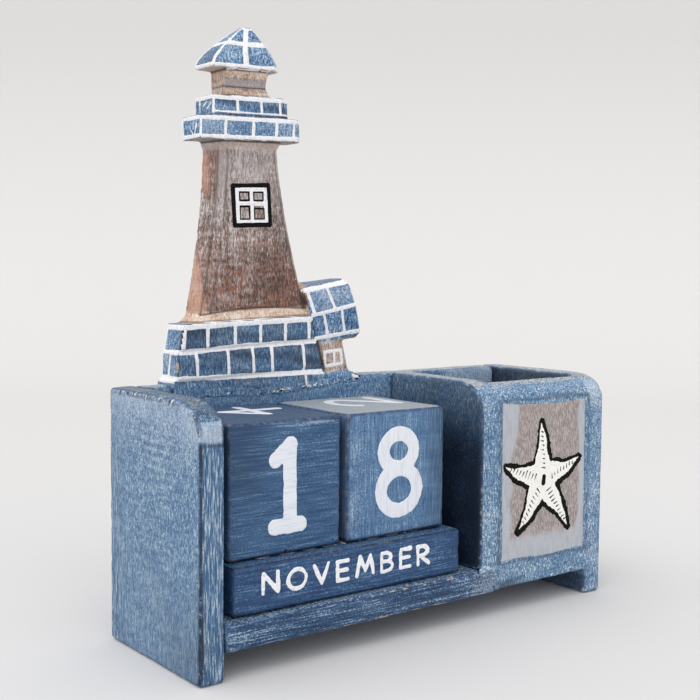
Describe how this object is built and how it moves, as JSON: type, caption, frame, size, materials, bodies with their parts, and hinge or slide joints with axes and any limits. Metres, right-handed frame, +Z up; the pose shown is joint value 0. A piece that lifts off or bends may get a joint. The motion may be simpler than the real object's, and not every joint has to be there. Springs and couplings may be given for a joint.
{
  "type": "wooden desk calendar",
  "caption": "Wooden desk calendar: open tray with number cubes on month bars, a pen box beside them, and a carved lighthouse set in the back board.",
  "frame": {"origin": "on the table under the middle of the whole calendar", "axes": "+X to the right along the front, the front faces -Y, +Z up"},
  "size_m": [0.1652, 0.0588, 0.1923],
  "materials": {
    "blue_washed_wood": "brushed matt paint, worn to the wood at the edges",
    "blue_cube_wood": "brushed matt paint with white painted figures",
    "blue_bar_wood": "brushed matt paint with white painted letters",
    "carved_wood": "carved, stained grey-brown, with painted blue bricks and white lines",
    "nail_steel": "plain steel",
    "dowel_wood": "unfinished"
  },
  "bodies": {
    "case": {"left_side_panel": "blue_washed_wood", "right_side_panel": "blue_washed_wood", "divider_panel": "blue_washed_wood", "base_board": "blue_washed_wood", "back_board": "blue_washed_wood", "pen_box_front_panel": "blue_washed_wood", "lighthouse_carving": "carved_wood", "left_panel_nails": "nail_steel", "right_panel_nails": "nail_steel", "divider_nails": "nail_steel", "back_board_nails": "nail_steel", "pen_front_nails": "nail_steel", "lighthouse_dowels": "dowel_wood"},
    "rear_bar": {"rear_month_bar": "blue_bar_wood"},
    "middle_bar": {"middle_month_bar": "blue_bar_wood"},
    "front_bar": {"front_month_bar": "blue_bar_wood"},
    "tens_block": {"tens_cube": "blue_cube_wood"},
    "units_block": {"units_cube": "blue_cube_wood"}
  },
  "joints": [
    {"name": "rear_bar_slide", "type": "slide", "parent": "case", "child": "rear_bar", "axis": [0, -1, 0], "range_m": [0, 0.05]},
    {"name": "middle_bar_slide", "type": "slide", "parent": "rear_bar", "child": "middle_bar", "axis": [0, -1, 0], "range_m": [0, 0.035]},
    {"name": "front_bar_slide", "type": "slide", "parent": "middle_bar", "child": "front_bar", "axis": [0, -1, 0], "range_m": [0, 0.02]},
    {"name": "tens_cube_lift", "type": "slide", "parent": "case", "child": "tens_block", "axis": [0, 0, 1], "range_m": [0, 0.05]},
    {"name": "units_cube_lift", "type": "slide", "parent": "case", "child": "units_block", "axis": [0, 0, 1], "range_m": [0, 0.05]}
  ]
}
